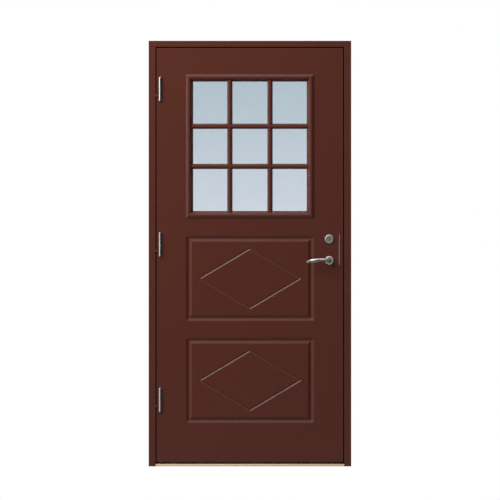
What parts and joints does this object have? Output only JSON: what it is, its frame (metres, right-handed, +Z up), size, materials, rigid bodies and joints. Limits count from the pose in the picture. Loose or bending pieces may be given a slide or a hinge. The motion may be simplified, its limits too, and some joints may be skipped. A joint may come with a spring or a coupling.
{
  "type": "entrance door",
  "caption": "Outward-opening insulated entrance door hung on the left in its frame, with a barred window over routed diamond panels, a lever handle and an oak threshold.",
  "frame": {"origin": "on the floor, at the middle of the threshold's underside", "axes": "+X to the right seen from outside, +Y into the building, +Z up"},
  "size_m": [0.99, 0.1702, 2.08],
  "materials": {
    "brown_paint": "satin paint",
    "brown_lacquer": "satin",
    "oak": "oiled",
    "foam": "matte",
    "glass": "clear",
    "spacer_aluminium": "satin",
    "satin_steel": "satin",
    "seal_rubber": "matte"
  },
  "bodies": {
    "frame": {"hinge_jamb": "brown_paint", "lock_jamb": "brown_paint", "frame_head": "brown_paint", "threshold": "oak", "seal_hinge_side": "seal_rubber", "seal_lock_side": "seal_rubber", "seal_head": "seal_rubber", "seal_threshold": "seal_rubber", "strike_plate": "satin_steel", "hinge_bottom_flap": "brown_lacquer", "hinge_middle_flap": "brown_lacquer", "hinge_top_flap": "brown_lacquer", "hinge_bottom_lower_barrel": "satin_steel", "hinge_middle_lower_barrel": "satin_steel", "hinge_top_lower_barrel": "satin_steel"},
    "leaf": {"outer_skin": "brown_paint", "inner_skin": "brown_paint", "hinge_stile": "brown_paint", "lock_stile": "brown_paint", "top_rail": "brown_paint", "bottom_rail": "brown_paint", "insulation_core": "foam", "glass_panes": "glass", "glass_spacers": "spacer_aluminium", "window_casing_outside": "brown_paint", "window_casing_inside": "brown_paint", "glazing_bars_outside": "brown_paint", "glazing_bars_inside": "brown_paint", "hinge_bottom_upper_barrel": "satin_steel", "hinge_middle_upper_barrel": "satin_steel", "hinge_top_upper_barrel": "satin_steel", "lock_forend": "satin_steel", "latch_bolt": "satin_steel", "lock_guard_strip": "satin_steel", "handle_rose_outside": "satin_steel", "handle_rose_inside": "satin_steel", "cylinder_rose": "satin_steel", "lock_cylinder": "satin_steel", "thumb_turn_rose": "satin_steel", "thumb_turn": "satin_steel"},
    "handle": {"lever_outside": "satin_steel", "lever_inside": "satin_steel", "handle_spindle": "satin_steel"}
  },
  "joints": [
    {"name": "leaf_swing", "type": "hinge", "parent": "frame", "child": "leaf", "pos_m": [-0.4392, -0.064, 0], "axis": [0, 0, -1], "range_deg": [0, 110]},
    {"name": "handle_turn", "type": "hinge", "parent": "leaf", "child": "handle", "pos_m": [0.388, -0.0245, 1.006], "axis": [0, -1, 0], "range_deg": [0, 45], "stiffness_Nm_per_rad": 1.5, "springref_deg": -28.65}
  ]
}
